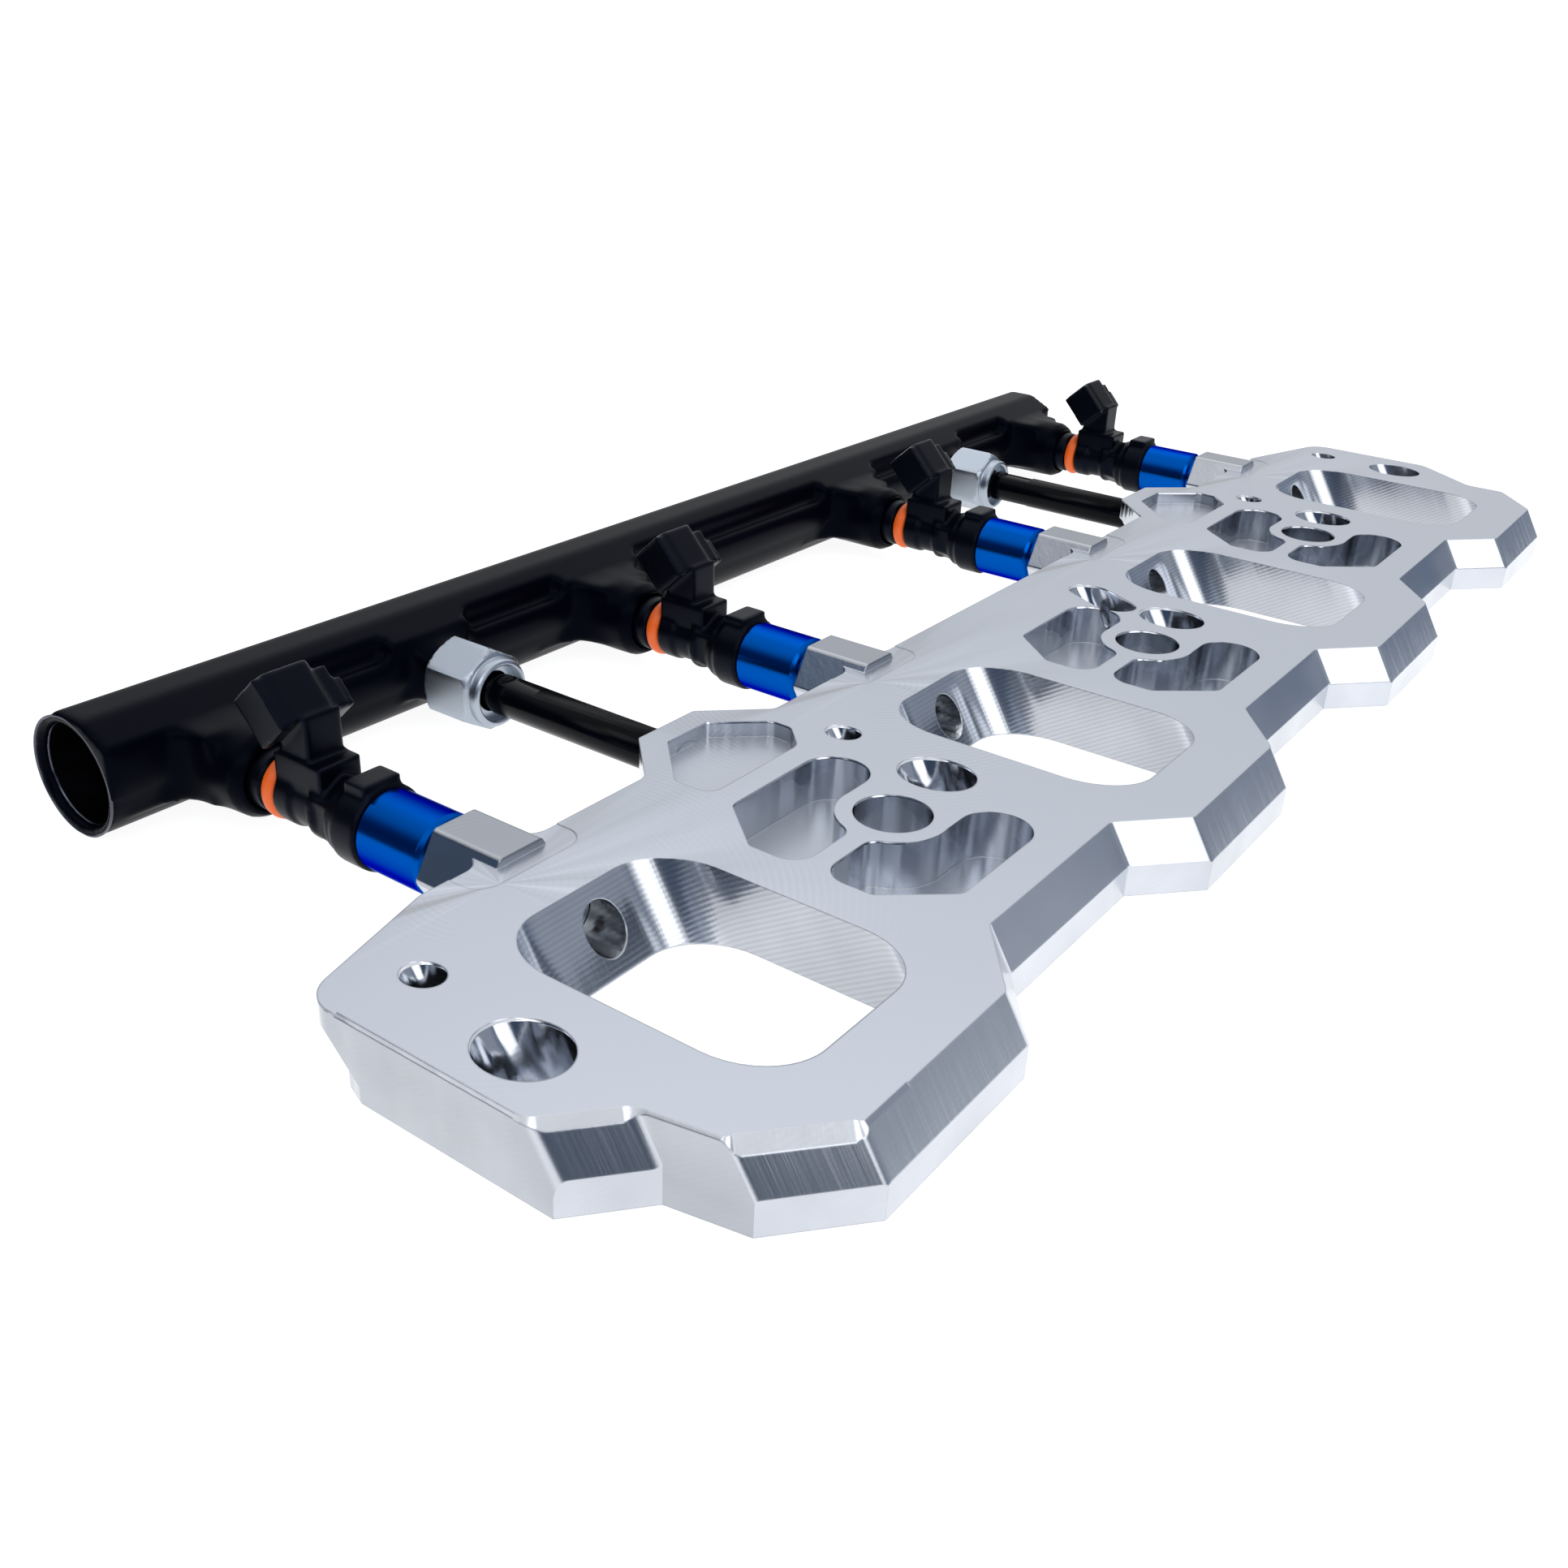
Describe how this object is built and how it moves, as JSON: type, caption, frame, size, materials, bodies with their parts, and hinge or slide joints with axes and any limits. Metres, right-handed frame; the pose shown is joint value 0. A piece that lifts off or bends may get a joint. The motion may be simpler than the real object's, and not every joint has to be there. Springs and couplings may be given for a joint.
{
  "type": "port injection plate",
  "caption": "Flat intake adapter plate with leaning ports, side-fed by fuel injectors from a black rail held on struts.",
  "frame": {"origin": "on the head-side face of the plate, in the middle of the row of ports", "axes": "+X along the row of ports towards the end with the single outer holes, +Y towards the fuel rail, +Z towards the manifold side"},
  "size_m": [0.4318, 0.1962, 0.0387],
  "materials": {
    "bare_aluminium": "machined, bare",
    "black_anodised": "black anodised satin",
    "black_plastic": "moulded satin",
    "blue_anodised": "blue anodised gloss",
    "orange_rubber": "smooth",
    "black_rubber": "smooth",
    "nozzle_steel": "turned",
    "tinned_brass": "tinned",
    "black_steel": "black oxide",
    "zinc_plated_steel": "bright zinc"
  },
  "bodies": {
    "root": {"plate": "bare_aluminium", "fuel_rail": "black_anodised", "injector_body_1": "black_plastic", "injector_body_2": "black_plastic", "injector_body_3": "black_plastic", "injector_body_4": "black_plastic", "injector_collar_1": "blue_anodised", "injector_collar_2": "blue_anodised", "injector_collar_3": "blue_anodised", "injector_collar_4": "blue_anodised", "upper_seal_1": "orange_rubber", "upper_seal_2": "orange_rubber", "upper_seal_3": "orange_rubber", "upper_seal_4": "orange_rubber", "lower_seal_1": "black_rubber", "lower_seal_2": "black_rubber", "lower_seal_3": "black_rubber", "lower_seal_4": "black_rubber", "nozzle_tube_1": "nozzle_steel", "nozzle_tube_2": "nozzle_steel", "nozzle_tube_3": "nozzle_steel", "nozzle_tube_4": "nozzle_steel", "terminals_1": "tinned_brass", "terminals_2": "tinned_brass", "terminals_3": "tinned_brass", "terminals_4": "tinned_brass", "strut_bar_1": "black_steel", "strut_bar_2": "black_steel", "strut_nut_1": "zinc_plated_steel", "strut_nut_2": "zinc_plated_steel"}
  },
  "joints": []
}
